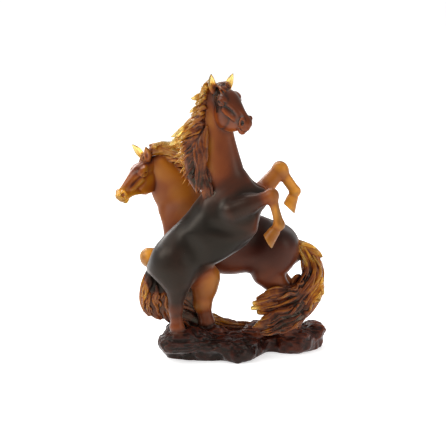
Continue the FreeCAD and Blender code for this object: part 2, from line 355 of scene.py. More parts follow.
class Horse:
    """Adds one horse's skin to its clay. Its axes: s forward, t up and n towards the front."""

    def __init__(self, prefix, clay, middle, forward, long):
        self.prefix, self.clay = prefix, clay
        self.middle, self.long = vec(*middle), long
        self.s = unit(vec(*forward))
        self.t = unit(vec(0, 0, 1) - self.s * self.s[2])
        self.n = np.cross(self.s, self.t)
        if self.n[1] > 0:
            self.n = -self.n

    def part(self, name):
        return PART_ID[f"{self.prefix}_horse_{name}"]

    def at(self, s, t, n=0.0):
        return self.middle + self.s * (s * self.long) + self.t * t + self.n * n

    def trunk(self):
        add, part = self.clay.add, self.part("trunk")
        path = [self.at(s, t) for s, t, _, _ in TRUNK]
        add(Tube(path, [w for *_, w in TRUNK], [h for _, _, h, _ in TRUNK], self.t, 66), part, 0)
        axes = (self.s, self.t, self.n)
        for side in (1, -1):
            lean = (unit(self.s * 0.85 + self.t * 0.5), unit(self.t * 0.85 - self.s * 0.5), self.n)
            add(Ellipsoid(self.at(-52, -3, side * 13), (28, 22, 16), axes), part, 10)  # croup
            add(Ellipsoid(self.at(46, 0, side * 17), (19, 36, 12), lean), part, 9)  # shoulder blade
            add(Ellipsoid(self.at(44, -20, side * 18), (20, 17, 12), axes), part, 8)  # triceps
            add(Ellipsoid(self.at(74, -13, side * 9), (12, 18, 11), axes), part, 7)  # breast
            add(Ellipsoid(self.at(10, -6, side * 17), (34, 27, 12), axes), part, 12)  # ribs
            self.clay.cut(Ellipsoid(self.at(-22, 4, side * 36), (13, 20, 9), axes), 12)  # flank
            self.clay.cut(Ellipsoid(self.at(27, -8, side * 40), (5, 24, 9), lean), 9)  # behind the shoulder
        self.clay.cut(Ellipsoid(self.at(90, -10, 0), (5, 20, 2.4), axes), 5)  # between the breasts
        self.clay.cut(Ellipsoid(self.at(-45, 36, 0), (26, 5, 2.6), axes), 5)  # along the croup

    def neck(self, path, width, height):
        add, part = self.clay.add, self.part("neck")
        add(Tube(path, width, height, self.s * 0.6 + vec(self.s[0], 0, 0), 56), part, 12)

    def limb(self, name, joints, radii, k=5):
        """Shafts between joints: each (start radius, middle radius, end radius)."""
        part = self.part(name)
        for i, r in enumerate(radii):
            a, b = vec(*joints[i]), vec(*joints[i + 1])
            path = [a, a * 0.66 + b * 0.34, a * 0.34 + b * 0.66, b]
            self.clay.add(Tube(path, r, r, self.n, 16), part, k if i == 0 else 3)

    def foreleg(self, name, joints, knob=1.0, stout=1.0):
        part = self.part(name)
        elbow, knee, fetlock, toe = (vec(*j) for j in joints)
        upper, lower = (14, 12.0, 8.6 * stout, 7.4 * knob), (7.0 * knob, 5.5 * stout, 5.3 * stout, 6.2)
        self.limb(name, joints[:3], (upper, lower), 6)
        down, shin = unit(knee - elbow), unit(fetlock - knee)
        bend = unit(down - shin)  # the side of the knee that points outwards
        self.muscle(part, elbow + (knee - elbow) * 0.30 + bend * 2.0, down, bend, (17, 9.5, 10))
        self.muscle(part, elbow + (knee - elbow) * 0.24 - bend * 4.0, down, bend, (15, 7, 8.5))
        self.muscle(part, knee + bend * 1.2 + shin, shin, bend, [r * knob for r in (8.6, 7.2, 7.6)], 3)
        self.muscle(part, knee - bend * 4.4 + shin * 3.0, shin, bend, (5.5, 3.6, 4.2), 3)
        self.muscle(part, fetlock - bend * 1.8, shin, bend, (5.6, 6.4, 5.8), 3)
        self.foot(part, fetlock, toe, -down, 1.0)

    def foot(self, part, fetlock, toe, heel, scale):
        coronet = fetlock + (toe - fetlock) * 0.42
        r = [scale * w for w in (5.8, 5.2, 6.2)]
        self.clay.add(Tube([fetlock, (fetlock + coronet) / 2, coronet], r, r, self.n, 4), part, 3)
        top = coronet - unit(toe - coronet) * 1.5
        self.clay.add(Hoof(top, toe, 6.6 * scale, 9.2 * scale, heel), part, 2.2)

    def muscle(self, part, centre, along, up, radii, k=6):
        along = unit(along)
        up = unit(up - along * up.dot(along))
        self.clay.add(Ellipsoid(centre, radii, (along, up, np.cross(along, up))), part, k)

    def hindleg(self, name, joints, stout=1.0):
        part = self.part(name)
        hip, stifle, hock, fetlock, toe = (vec(*j) for j in joints)
        upper, middle, lower = (22, 21, 18, 14.5), (14, 13, 10.5, 9.0), (9.0, 7.6, 7.4, 8.2)
        self.limb(name, joints[:4], (upper, [r * stout for r in middle], [r * stout for r in lower]), 14)
        thigh, gaskin, cannon = unit(stifle - hip), unit(hock - stifle), unit(fetlock - hock)
        rear = unit(gaskin - cannon)  # the side that the hock's point is on
        self.muscle(part, hip + (stifle - hip) * 0.45 + rear * 4, thigh, rear, (27, 20, 16), 10)
        self.muscle(part, stifle + (hock - stifle) * 0.28 + rear * 4.5, gaskin, rear, (17, 9, 9.5), 6)
        self.muscle(part, stifle - rear * 3.0, thigh, rear, (10, 9, 9.5), 6)
        point = hock + rear * 6.2 - gaskin * 6.5
        self.clay.add(Tube([point, hock + rear * 2.5], (4.6, 6.0), (4.6, 6.0), self.n, 2), part, 4)
        top = stifle + (hock - stifle) * 0.35 + rear * 8.0
        tendon, r = [top, (top + point) / 2 + rear * 0.6, point], (4.5, 3.2, 3.8)
        self.clay.add(Tube(tendon, r, r, self.n, 4), part, 3)
        self.muscle(part, hock + cannon * 2, cannon, rear, (9.5, 8.4, 8.0), 3)
        self.muscle(part, fetlock + rear * 1.2, cannon, rear, (6.4, 7.6, 7.0), 3)
        self.foot(part, fetlock, toe, rear, 1.28)

    def head(self, poll, forward, crown, long, deep, wide):
        """The skull, drawn 64 mm from poll to lips: x along the face, y to the crown, z to either side."""
        part, clay = self.part("head"), self.clay
        f = unit(vec(*forward))
        u = unit(vec(*crown) - f * vec(*crown).dot(f))
        r = np.cross(f, u)
        long, deep, wide = long / 64, deep / 64, wide / 64

        def at(x, y, z=0.0):
            return vec(*poll) + f * (x * long) + u * (y * deep) + r * (z * wide)

        def oval(x, y, z, rx, ry, rz, tilt, yaw):
            """Its half sizes, tipped up by tilt and turned to the side by yaw, in radians."""
            c, s = math.cos(tilt), math.sin(tilt)
            a, b = f * c + u * s, u * c - f * s
            c, s = math.cos(yaw), math.sin(yaw)
            axes = (a * c + r * s, b, r * c - a * s)
            return Ellipsoid(at(x, y, z), (rx * long, ry * deep, rz * wide), axes)

        def lump(x, y, z, rx, ry, rz, k=3.0, tilt=0.0, yaw=0.0):
            clay.add(oval(x, y, z, rx, ry, rz, tilt, yaw), part, k)

        def scoop(x, y, z, rx, ry, rz, k=2.0, tilt=0.0, yaw=0.0):
            clay.cut(oval(x, y, z, rx, ry, rz, tilt, yaw), k)

        def bar(points, width, height, k=3.0):
            path, w, h = [at(*p) for p in points], [r * wide for r in width], [r * deep for r in height]
            clay.add(Tube(path, w, h, u, 5 * len(path)), part, k)

        # the face from poll to nose, and the lower jaw
        bar(
            ((-4, -5), (8, -2.5), (20, 0), (32, -1), (44, -2.8), (54, -4.2), (60, -5.5)),
            (7, 9, 10.6, 8.0, 5.4, 4.6, 4.4),
            (7.5, 9, 9.2, 7.6, 6.2, 5.2, 4.6),
            4,
        )
        bar(
            ((8, -14), (18, -18), (30, -19), (41, -16), (50, -13), (57, -12)),
            (6, 7.2, 6.4, 5.0, 4.0, 4.0),
            (8.5, 10.5, 9.8, 7.0, 4.2, 3.4),
            4,
        )
        lump(34, -8, 0, 20, 8.5, 6.2, 4)  # bridge of the nose
        lump(56.0, -7.4, 0, 6.8, 7.4, 5.6, 3)  # muzzle
        lump(60.0, -10.0, 0, 3.0, 4.4, 4.2, 2)  # upper lip
        lump(54.6, -16.2, 0, 5.4, 3.5, 3.8, 1.6)  # lower lip
        for side in (1, -1):
            lump(21, -14.0, side * 5.2, 14.4, 14.6, 4.8, 1.6)  # cheek
            lump(19, 3.4, side * 9.6, 7.6, 2.8, 3.2, 3.0, 0.12)  # brow
            scoop(21.5, -0.4, side * 14.4, 5.2, 2.6, 4.0, 1.8)  # eye socket
            scoop(9, 4.0, side * 12.2, 4.2, 3.4, 2.6, 2.5)  # temple
            scoop(39, -2.8, side * 10.2, 13.0, 2.4, 4.2, 2.5, -0.10)  # hollow of the face
            lump(21.4, -0.3, side * 9.9, 3.2, 2.3, 2.3, 0.4)  # eyeball
            # upper lid, lower lid and facial crest
            bar(
                ((15.5, -0.2, side * 11.6), (20, 2.6, side * 12.6), (26.5, 0.8, side * 11.2)),
                (0.9, 1.2, 0.8),
                (0.8, 1.0, 0.8),
                1.2,
            )
            bar(
                ((16.5, -1.6, side * 11.2), (21, -3.2, side * 11.6), (26, -1.2, side * 10.6)),
                (0.6, 0.8, 0.6),
                (0.6, 0.7, 0.6),
                1.2,
            )
            bar(
                ((26, -6.0, side * 8.8), (34, -7.6, side * 7.6), (43, -8.2, side * 5.6)),
                (0.9, 1.1, 0.6),
                (0.8, 0.9, 0.6),
                4.0,
            )
            lump(56.0, -4.8, side * 4.9, 4.6, 5.0, 2.8, 1.6, 0.25, side * 0.42)  # nostril wing
            scoop(57.2, -4.6, side * 8.0, 2.9, 3.5, 3.6, 0.8, 0.25, side * 0.42)  # nostril
            scoop(56.0, -13.0, side * 5.6, 6.2, 0.75, 3.2, 0.6, 0.10)  # mouth
        scoop(61.4, -13.0, 0, 2.4, 0.75, 5.0, 0.6)  # the mouth's front

    def ear(self, name, root, tip, open_way):
        part = self.part(name)
        root, tip, open_way = vec(*root), vec(*tip), vec(*open_way)
        rise = tip - root
        way = unit(open_way - unit(rise) * open_way.dot(unit(rise)))
        stations = ((-0.12, 0.0), (0.25, 1.0), (0.6, 1.2), (0.9, 0.5), (1.0, 0.0))  # share of rise, bulge
        curl = [root + rise * t - way * b for t, b in stations]
        self.clay.add(Tube(curl, (3.4, 5.2, 4.0, 1.5, 0.5), (3.0, 3.2, 2.4, 1.3, 0.5), way, 14), part, 2.5)
        hollow = [root + rise * t + way * b for t, b in ((0.12, 2.6), (0.4, 2.2), (0.8, 1.6))]
        self.clay.cut(Tube(hollow, (1.6, 3.0, 0.8), (1.2, 1.9, 0.8), way, 8), 0.9)


clays = {}
clays["front"] = Clay(1.5)
clays["back"] = Clay(1.5)

front = Horse("front", clays["front"], (-42, -28, 152), (0.725, -0.02, 0.688), 1.0)
front.trunk()
front.neck(
    (
        (-9, -29, 180), (-15, -29, 210), (-23.5, -29.5, 243),
        (-27, -30, 275), (-27.5, -31, 303), (-24, -33, 324),
    ),
    (21, 19.5, 15.5, 12.5, 10.5, 8.5),
    (29, 25.5, 24.0, 19.6, 17.0, 11),
)
front.clay.cut(Ellipsoid((26, -29, 232), (15, 40, 20)), 6)  # the notch between throat and far foreleg
front.clay.cut(Ellipsoid((42, -40, 170), (20, 50, 24)), 6)  # behind the near forearm
front.foreleg("right_foreleg", ((-9, -54, 187), (37, -57, 206), (46, -57, 171.5), (30.5, -59, 149.5)))
front.foreleg("left_foreleg", ((5, -12, 177), (48, -5, 227), (66, -4, 201), (57.5, -4, 177.5)), 1.2, 1.2)
front.hindleg(
    "right_hindleg",
    ((-78, -38, 126), (-74, -45, 99), (-77, -43, 68), (-74.5, -43, 43), (-73, -44, 22)),
)
front.hindleg(
    "left_hindleg",
    ((-70, -16, 124), (-40, -12, 97), (-44.5, -13, 64), (-39.5, -13, 42), (-35, -13, 23)),
    1.2,
)
front.clay.cut(Ellipsoid((-120, -34, 74), (34, 60, 34)), 8)  # under the buttock
front.head((-25.0, -34, 326.5), (0.60, -0.65, -0.468), (0.239, -0.375, 0.895), 63, 81, 75)
front.ear("right_ear", (-31.5, -42, 329), (-33.8, -46, 347.5), (0.45, -0.85, 0.1))
front.ear("left_ear", (-14.5, -27, 328), (-8.2, -27, 345.5), (0.45, -0.85, 0.1))

back = Horse("back", clays["back"], (-10, 30, 140), (-0.945, -0.12, 0.297), 0.96)
back.trunk()
belly = ((-52, 28, 120), (-34, 27, 115), (-14, 26, 113), (6, 26, 114), (26, 27, 119))
belly = Tube(belly, (14, 19, 21, 19, 14), (16, 21.5, 22.5, 21.5, 16), back.n, 20)
back.clay.add(belly, back.part("trunk"), 10)
back.neck(
    ((-48, 28, 150), (-64, 27, 172), (-79, 26, 197), (-90, 24, 216), (-98, 22.5, 230)),
    (22, 19.5, 15.0, 12, 10),
    (26, 24.5, 27.6, 21, 13.5),
)
back.clay.cut(Ellipsoid((-112, 26, 146), (20, 40, 26)), 6)  # the front of the breast
back.clay.cut(Ellipsoid((74, 30, 158), (34, 44, 18)), 6)  # the slope of the croup
back.foreleg("left_foreleg", ((-62, 8, 134), (-109, 2, 118.5), (-104, 4, 91), (-90, 5, 72)), 1.36)
back.foreleg("right_foreleg", ((-56, 44, 136), (-97, 50, 108), (-80, 50, 80), (-68, 50, 64)))
back.hindleg("left_hindleg", ((46, 22, 127), (31, 17, 95), (58, 20, 69), (44, 20, 41), (36, 20, 21)), 1.1)
back.hindleg("right_hindleg", ((46, 46, 128), (32, 50, 94), (63, 47, 69), (54, 47, 41), (47, 46, 21)))
back.head((-105.5, 21, 233.5), (-0.696, -0.42, -0.582), (-0.453, -0.337, 0.826), 63.5, 66.5, 65)
back.clay.cut(Ellipsoid((-120, 0, 186), (13, 30, 8)), 3)  # between throat and chin
back.ear("left_ear", (-110, 11, 238), (-112.5, 7, 252.5), (-0.5, -0.85, 0.1))
back.ear("right_ear", (-118.5, 25, 239), (-129.5, 26, 252), (-0.6, -0.75, 0.1))


# ---------------------------------------------------------------- rock base

clays["rock"] = Clay(3.0)
ROCK = PART_ID["rock_base"]
# Boulders: place, half length and half depth, top of the boulder, mm.
BOULDERS = (
    (-58, -12, 32, 23, 29),
    (-34, -16, 36, 27, 27),
    (-3, -28, 22, 28, 26),
    (-2, 4, 37, 31, 28),
    (-30, 22, 38, 26, 30),
    (40, 26, 36, 29, 30),
    (66, 20, 29, 32, 27),
    (88, 30, 15, 18, 26),
)
for x, y, half_x, half_y, top in BOULDERS:
    clays["rock"].add(Boulder((x, y, 10), (half_x, half_y, top - 9)), ROCK, 9)
OVERHANGS = (  # lumps that lean out over the floor: place, half sizes, mm
    ((-83.5, -20, 18), (16, 22, 12)),
    ((-80, -10, 34), (7, 8, 7)),
    ((-62, -32, 20), (25, 15, 11)),
    ((-79, -14, 30), (9, 12, 7)),
    ((-74, -42, 27), (15, 9, 12)),
    ((-46, -10, 29), (20, 15, 8)),
    ((-66, -40, 30), (17, 12, 10)),
    ((-76, -50, 22), (17, 9, 11)),
    ((-34, -17, 30), (18, 13, 9)),
    ((-50, -30, 29), (16, 12, 8)),
    ((52, 4, 31), (22, 14, 8)),
    ((20, -6, 30), (16, 12, 8)),
    ((94, 30, 22), (11, 12, 8)),
    ((-30, -40, 18), (30, 12, 8)),
)
for place, halves in OVERHANGS:
    clays["rock"].add(Ellipsoid(place, halves), ROCK, 7)
STONES = 60  # small stones strewn over the boulders
stones = np.random.default_rng(21)
for _ in range(STONES):
    x, y, half_x, half_y, top = BOULDERS[stones.integers(len(BOULDERS))]
    turn = stones.uniform(0, 2 * math.pi)
    ring = stones.uniform(0.45, 0.95)
    height = top * (1.0 - 0.28 * ring ** 4) - stones.uniform(1, 6) - (8 if ring > 0.9 else 0)
    place = (x + half_x * ring * math.cos(turn), y + half_y * ring * math.sin(turn), height)
    clays["rock"].add(Ellipsoid(place, stones.uniform((5, 4, 3), (13, 9, 6))), ROCK, 4.0)
coarse, grain = Noise(3, 19.0, 2), Noise(4, 4.2, 2)


def rock_relief(p):
    """Broad hollows, and on the upper half sharp grooves that run lengthwise like combed hair."""
    drawn = p * np.array([0.22, 0.9, 1.0], dtype=np.float32)
    drawn[..., 2] += 0.9 * coarse(p * np.float32(0.7))
    crest = 1 - np.abs(grain(drawn))
    upper = np.clip((p[..., 2] - 11) / 12, 0, 1)
    lumpy = coarse(p * np.float32(2.1))
    return 2.6 * coarse(p) + 1.3 * lumpy - (0.15 + 1.3 * upper) * crest * crest + 0.8


clays["rock"].roughen(rock_relief)
clays["rock"].cut(Below(), 0.6)

# ---------------------------------------------------------------- hair

clays["hair"] = Clay(1.0)
FLAT = (0, 1, 0)  # locks lie flat to the front unless told otherwise


class Comb:
    """Lays locks of hair into the clay."""

    def __init__(self, part, seed):
        self.part, self.rng = PART_ID[part], np.random.default_rng(seed)

    def draw(self, low, high):
        return self.rng.uniform(low, high)

    def lock(self, path, half_width, half_thick, wave, blunt, flat=FLAT):
        """One lock along path, flat side to flat, waving sideways and tapering to its tip."""
        n = len(path)
        fine_n = max(7, 2 * n)
        p = spline(np.arange(n), np.array(path, dtype=np.float64), np.linspace(0, n - 1, fine_n))
        share = np.linspace(0, 1, fine_n)
        travel = np.gradient(p, axis=0)
        travel /= np.linalg.norm(travel, axis=1)[:, None]
        side = np.cross(travel, np.broadcast_to(flat, p.shape))
        side /= np.maximum(np.linalg.norm(side, axis=1), 1e-6)[:, None]
        phase, turns = self.draw(0, 2 * math.pi), self.draw(0.8, 1.5)
        angle = 2 * math.pi * turns * share
        swing = np.sin(angle + phase) * wave * np.sin(math.pi * np.minimum(share * 1.2, 1)) ** 0.7
        lift = np.cos(angle + phase * 1.7) * wave * 0.35
        p = p + side * swing[:, None] + np.array(flat) * lift[:, None]
        body = np.minimum(1, 0.55 + 2.2 * share) * (1 - share ** 3 * (1 - blunt))
        ridge = (self.draw(2.4, 3.2), self.draw(0.5, 0.9), self.draw(0, 6.28))
        tube = Tube(p, half_width * body, half_thick * body, flat, 2 * fine_n, ridge, self.draw(-0.7, 0.7))
        clays["hair"].add(tube, self.part, 0.5)

    def core(self, path, width, thick):
        clays["hair"].add(Tube(path, width, thick, FLAT), self.part, 3)

    def fan(self, guides, count, half_width, half_thick, depth, wave, start=(0.0, 0.2), end=(0.6, 1.0)):
        """Locks that follow guide curves lying side by side, over a flat core, depth mm to and fro."""
        n = 8
        guides = [np.array(guide, dtype=np.float64) for guide in guides]
        guides = np.array([spline(np.arange(len(g)), g, np.linspace(0, len(g) - 1, n)) for g in guides])
        last = len(guides) - 1
        taper = np.sin(np.linspace(0.35, 3.08, n)) ** 0.7
        for a, b in zip(guides[:-1], guides[1:]):
            gap = np.linalg.norm(a - b, axis=1)
            self.core((a + b) / 2, 0.56 * gap * taper + 1, 0.62 * depth * taper + 1)
        for i in range(count):
            place = last * (i + self.draw(0, 1)) / count
            drift = self.draw(-0.35, 0.35)
            path = []
            for time in np.linspace(self.draw(*start), self.draw(*end), n) * (n - 1):
                at = np.clip(place + drift * (time / (n - 1) - 0.5), 0, last)
                across = [spline(np.arange(n), guide, np.array([time]))[0] for guide in guides]
                path.append(spline(np.arange(last + 1), np.array(across), np.array([at]))[0])
            path = np.array(path) + (0, self.draw(-depth, depth), 0)
            width = half_width * self.draw(0.75, 1.25)
            self.lock(path, width, half_thick * self.draw(0.8, 1.2), wave, 0.15)


# Front horse's mane: locks leave the crest of the neck, blow back and fall on its near side.
comb = Comb("front_horse_mane", 11)
comb.core(
    ((-38, -33, 328), (-43, -35, 308), (-49, -37, 284), (-54, -38, 256), (-54, -38, 228), (-50, -38, 208)),
    (3, 5, 8, 11, 9, 3),
    (4, 5, 6, 7, 6, 3),
)
# x and z of the locks' roots along the crest
CREST = ((-38, 334), (-37.5, 312), (-39, 290), (-41, 272), (-40, 256), (-39, 246))
TIPS = (  # x and z of their tips, from the poll down
    (-40, 334), (-50, 321), (-56, 306), (-62, 293), (-76, 274),
    (-83, 262), (-81, 239), (-74, 225), (-64, 209), (-53, 200),
)
for layer, (y, count) in enumerate(((-27, 24), (-33, 30), (-39, 34), (-44, 26))):
    for i in range(count):
        c = max(0.05, (i + comb.draw(0, 1)) / count)
        if layer == 3:
            c = 0.25 + 0.75 * c
        root = spline(np.arange(6), np.array(CREST), np.array([5 * min(1, 0.85 * c)]))[0]
        tip = spline(np.arange(10), np.array(TIPS), np.array([9 * c]))[0]
        reach = comb.draw(0.72, 1.0) if layer < 3 else comb.draw(0.45, 0.85)
        tip = root + (tip - root) * reach
        drop = (root - tip)[1]
        path = []
        for share in (0.0, 0.2, 0.45, 0.7, 0.88, 1.0):
            x = root[0] + (tip[0] - root[0]) * share ** 1.25
            z = root[1] - drop * share ** 0.85 + 3.5 * math.sin(math.pi * share) * comb.draw(0.2, 1.0)
            path.append((x, -31 + (y + 31) * min(1, 2.2 * share) + comb.draw(-1, 1), z))
        comb.lock(path, comb.draw(1.9, 3.1), comb.draw(1.5, 2.2), 1.7, 0.15)
for i in range(20):  # the locks that hang straight down over the neck's near side
    c = comb.draw(0, 1)
    x, top, end = -39 - 13 * c, 286 - 14 * c, 224 - 20 * math.sin(2.2 * c) + comb.draw(-4, 8)
    middle = ((x - 2, -46, top - 16), (x, -48, (top + end) / 2), (x - 2, -48, end + 14))
    path = [(x + 1, -41, top), *middle, (x, -47, end)]
    comb.lock(path, comb.draw(1.9, 2.9), comb.draw(1.5, 2.1), 2.0, 0.12)
for i in range(9):  # the last locks, which end on the shoulder
    x = -46 + 1.4 * i
    end = 197 + 2 * comb.draw(-1, 1)
    path = [(x, -41, 246 - 2 * i), (x + 1, -46, 228 - i), (x + 2, -48, 212), (x + 3, -47, end)]
    comb.lock(path, 2.2, 1.7, 1.8, 0.15)
for path, width in (  # broad leaf-like locks that stand out into the air
    (((-52, -36, 293), (-62, -37, 284), (-72, -38, 277), (-82, -38, 271.5)), 5.2),
    (((-54, -38, 292), (-64, -39, 283), (-72, -40, 277), (-77, -40, 272)), 4.4),
    (((-56, -36, 276), (-67, -37, 272), (-76, -38, 267), (-84, -38, 261)), 4.8),
    (((-42, -35, 319), (-48, -36, 319), (-53, -36, 318), (-58, -36, 317)), 4.4),
    (((-42, -34, 312), (-48, -35, 308), (-54, -35, 304), (-60, -35, 300)), 4.0),
):
    comb.lock(path, width, 1.9, 0.6, 0.10)


def forelock(poll, forward, crown, reach, spread_out, lift):
    """Short curls from between the ears, strewn over the forehead."""
    f, c = unit(vec(*forward)), unit(vec(*crown))
    side = np.cross(c, f)
    for i in range(22):
        place = (i - 10.5) / 10.5
        root = vec(*poll) - f * comb.draw(0, 3) + c * lift + side * (place * spread_out * 0.8)
        far = reach * comb.draw(0.55, 1.0) * (1 - 0.45 * place)
        tip = root + f * far + side * comb.draw(-3, 3) - c * (lift * 0.02 * far)
        mid = (root + tip) / 2 + c * comb.draw(1.5, 4.0)
        comb.lock((root, mid, tip), comb.draw(1.3, 2.1), comb.draw(1.2, 1.7), 1.8, 0.25, c)


comb = Comb("front_horse_forelock", 12)
forelock((-25, -34, 327), (0.60, -0.65, -0.468), (0.239, -0.375, 0.895), 21, 9, 8.8)

# Back horse's mane: blown back from its crest, past the front horse's.
comb = Comb("back_horse_mane", 13)
comb.core(
    ((-104, 22, 250), (-92, 24, 246), (-78, 26, 236), (-64, 27, 222), (-55, 27, 206)),
    (3, 8, 13, 14, 7),
    (4, 6, 8, 8, 5),
)
for y, count in ((11, 18), (17, 24), (26, 18), (36, 12)):
    for i in range(count):
        c = (i + comb.draw(0.1, 0.9)) / count
        crest = (1 - c) * vec(-108, 22, 250) + c * vec(-62, 27, 206)
        root = crest + (comb.draw(-2, 2), (y - 24) * 0.35, 3)
        tip = root + (comb.draw(28, 42) * (1 - 0.4 * c), (y - root[1]), comb.draw(-12, 4) - 8 * c)
        mid = root * 0.5 + tip * 0.5 + (0, 0, comb.draw(1, 5))
        comb.lock((root, mid, tip), comb.draw(2.0, 3.2), comb.draw(1.5, 2.1), 1.6, 0.15)

for y in (13, 17, 21, 26):  # the locks right behind the ears
    comb.lock(((-108, 20, 246), (-103, y, 251), (-94, y, 255), (-84, y - 1, 254)), 2.6, 1.9, 1.2, 0.3)

comb.core(((-110, 20, 240), (-104, 17, 245), (-96, 18, 247), (-88, 20, 246)), (3, 5, 6, 4), (4, 5, 5, 4))
for y in (13, 19, 25):  # the locks that reach the front horse's mane
    comb.lock(((-92, y, 252), (-82, y, 254), (-72, y, 252.5), (-62, y, 247)), 3.6, 2.0, 1.0, 0.4)

comb = Comb("back_horse_forelock", 14)
forelock((-105.5, 21, 234), (-0.693, -0.42, -0.588), (-0.453, -0.337, 0.826), 17, 7, 8.3)

# Front horse's tail: falls behind its hocks, passes between its feet and ends along the rock.
comb = Comb("front_horse_tail", 15)
FRONT_TAIL = (
    (
        (-101, -22, 120), (-107, -24, 111), (-109, -25, 100),
        (-113, -25, 86), (-117, -24, 71), (-115, -22, 54),
    ),
    (
        (-100, -22, 117), (-107, -24, 103), (-110, -25, 87),
        (-111, -24, 72), (-108, -23, 59), (-103, -21, 51),
    ),
    (
        (-97, -22, 110), (-100, -24, 93), (-99, -24, 79),
        (-98, -23, 65), (-93, -21, 53), (-86, -18, 45),
    ),
    (
        (-92, -22, 101), (-89, -23, 87), (-86, -23, 75),
        (-85, -21, 62), (-84, -18, 50), (-80, -16, 40),
    ),
)
comb.fan(FRONT_TAIL, 84, 2.3, 1.9, 7.5, 2.2, (0.0, 0.45), (0.5, 1.0))
BETWEEN_FEET = (
    ((-84, -18, 84), (-72, -14, 86), (-61, -10, 82), (-52, -6, 70), (-45, -3, 54), (-36, 0, 40)),
    ((-82, -18, 62), (-72, -15, 58), (-62, -12, 52), (-52, -9, 44), (-44, -6, 37), (-34, -3, 30)),
    ((-81, -18, 44), (-72, -16, 38), (-61, -14, 32), (-50, -12, 28), (-40, -8, 26), (-29, -6, 24)),
)
comb.fan(BETWEEN_FEET, 34, 2.5, 1.9, 5.5, 1.8, (0.0, 0.3), (0.6, 1.0))
ALONG_ROCK = (
    ((-44, 2, 50), (-30, 8, 45), (-19, 10, 39), (-5, 8, 36), (12, 4, 36), (24, 0, 38)),
    ((-44, 2, 36), (-30, 8, 33), (-19, 10, 30), (-5, 8, 28), (12, 4, 28), (24, 0, 30)),
)
comb.fan(ALONG_ROCK, 34, 2.0, 1.7, 5, 1.2, (0.0, 0.7), (0.5, 1.0))

# Back horse's tail: lifts off its croup, drops, and sweeps forward past its hocks onto the rock.
comb = Comb("back_horse_tail", 16)
CROWN = (
    ((60, 36, 134), (75, 35, 129), (89, 33, 124), (98, 32, 118), (102, 31, 113)),
    ((62, 35, 132), (74, 33, 126), (85, 32, 120), (94, 31, 115), (99, 30, 112)),
    ((63, 34, 131), (72, 32, 122), (79, 31, 114), (86, 30, 108), (92, 30, 107)),
)
comb.fan(CROWN, 30, 2.6, 1.9, 6, 1.2, (0.0, 0.2), (0.75, 1.0))
SWEEP = (
    (
        (66, 33, 130), (76, 30, 118), (79, 26, 105), (78, 20, 92),
        (70, 12, 82), (53, 4, 81), (38, -2, 82), (28, -5, 79),
    ),
    (
        (73, 33, 130), (85, 30, 115), (89, 26, 101), (84, 18, 85),
        (72, 10, 72), (55, 2, 64), (34, -4, 60), (15, -8, 59),
    ),
    (
        (85, 31, 121), (96, 28, 107), (95, 22, 91), (86, 15, 75),
        (73, 8, 61), (59, 2, 52), (43, -3, 48), (29, -6, 47),
    ),
    (
        (90, 30, 113), (97, 28, 103), (100, 24, 89), (101, 19, 75),
        (94, 14, 63), (86, 10, 53), (77, 6, 47), (67, 2, 41),
    ),
)
comb.fan(SWEEP, 115, 2.4, 2.0, 8.5, 2.6, (0.0, 0.6), (0.45, 1.0))
ONTO_ROCK = (
    ((70, 2, 66), (58, -4, 58), (45, -8, 54), (33, -10, 50), (23, -12, 45), (13, -12, 39)),
    ((78, 0, 54), (67, -5, 46), (55, -10, 41), (42, -13, 36), (31, -15, 32), (20, -16, 30)),
    ((82, 2, 44), (74, -4, 38), (63, -10, 34), (51, -14, 31), (39, -17, 28), (30, -18, 27)),
)
comb.fan(ONTO_ROCK, 40, 2.2, 1.9, 5, 2.2, (0.0, 0.5), (0.45, 1.0))
for path, width in (  # blunt locks that stand clear of the rest
    (((44, -2, 70), (33, -6, 67), (24, -8, 65), (17, -8, 64)), 4.6),
    (((46, -4, 62), (34, -8, 60), (24, -9, 59), (15, -9, 58)), 4.6),
    (((46, -2, 55), (36, -6, 53), (29, -8, 52), (23, -8, 52)), 3.6),
    (((74, 22, 90), (70, 20, 90), (66, 18, 86), (64, 17, 81)), 4.0),
):
    comb.lock(path, width, 3.0, 0.4, 0.75)

# ---------------------------------------------------------------- from clay to meshes

low = np.array([-160.0, -85.0, -4.0])
high = np.array([118.0, 85.0, 366.0])
blocks = np.ceil((high - low) / (STEP * BLOCK)).astype(int)


def evaluate(points, centres, margin):
    """The whole group's field, and the number of the shape nearest each point."""
    field, best, which = None, None, None
    for group, clay in clays.items():
        f, near, w = clay.evaluate(points, centres, margin)
        if group == "hair":
            near = near + np.float32(HAIR_CLEARANCE)
        if field is None:
            field, best, which = f, near, w
            continue
        which = np.where(near < best, w, which)
        best = np.minimum(best, near)
        field = smooth_min(field, f, clay.weld)
    return field, which


index = np.stack(np.meshgrid(*(np.arange(n) for n in blocks), indexing="ij"), -1).reshape(-1, 3)
centres = (low + (index + 0.5 - 0.5 / BLOCK) * (STEP * BLOCK)).astype(np.float32)
radius = STEP * BLOCK * math.sqrt(3) / 2
whole = evaluate(centres[:, None, :], centres, radius * 1.5 + BAND)
coarse_field, coarse_which = whole[0][:, 0], whole[1][:, 0]
active = np.flatnonzero(np.abs(coarse_field) < radius + BAND)
offsets = np.stack(np.meshgrid(*(np.arange(BLOCK),) * 3, indexing="ij"), -1).reshape(-1, 3) * STEP


def spread(values):
    """One value a block, spread over all the block's voxels."""
    return np.kron(values.reshape(*blocks), np.ones((BLOCK,) * 3, dtype=values.dtype))


